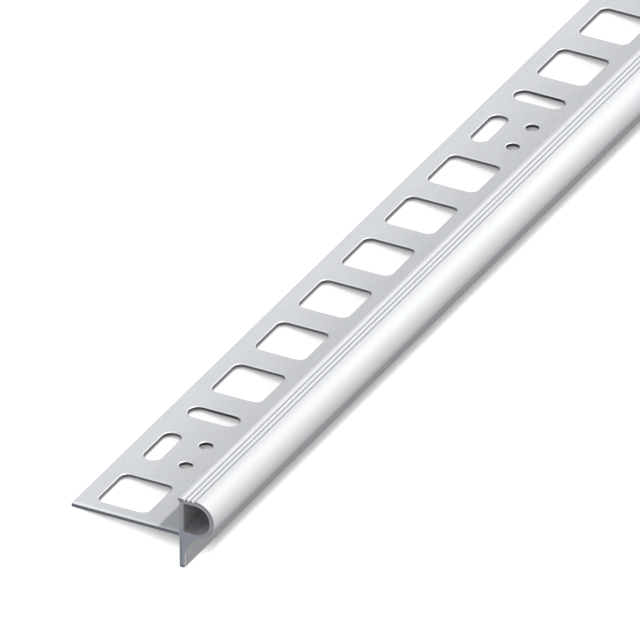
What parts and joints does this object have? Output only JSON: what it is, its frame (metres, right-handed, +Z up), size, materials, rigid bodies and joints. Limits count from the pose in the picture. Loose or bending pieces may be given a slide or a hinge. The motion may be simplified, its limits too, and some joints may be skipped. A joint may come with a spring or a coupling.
{
  "type": "stair nosing",
  "caption": "Extruded aluminium stair nosing: a punched flange to bed under the tread tile, a round hollow nose with grip grooves and a short leg in front of the step.",
  "frame": {"origin": "centre of the bounding box in plan, at floor level, where the piece lies at rest", "axes": "+X along the length, +Y from the nose to the back edge of the flange, +Z up; the piece lies as it rests unheld, on the back edge of its flange and the foot of its leg, so the flange slopes down by 16.49 degrees towards +Y"},
  "size_m": [1, 0.034, 0.0187],
  "materials": {
    "anodised_aluminium": "satin silver anodised"
  },
  "bodies": {
    "root": {"nosing": "anodised_aluminium"}
  },
  "joints": []
}
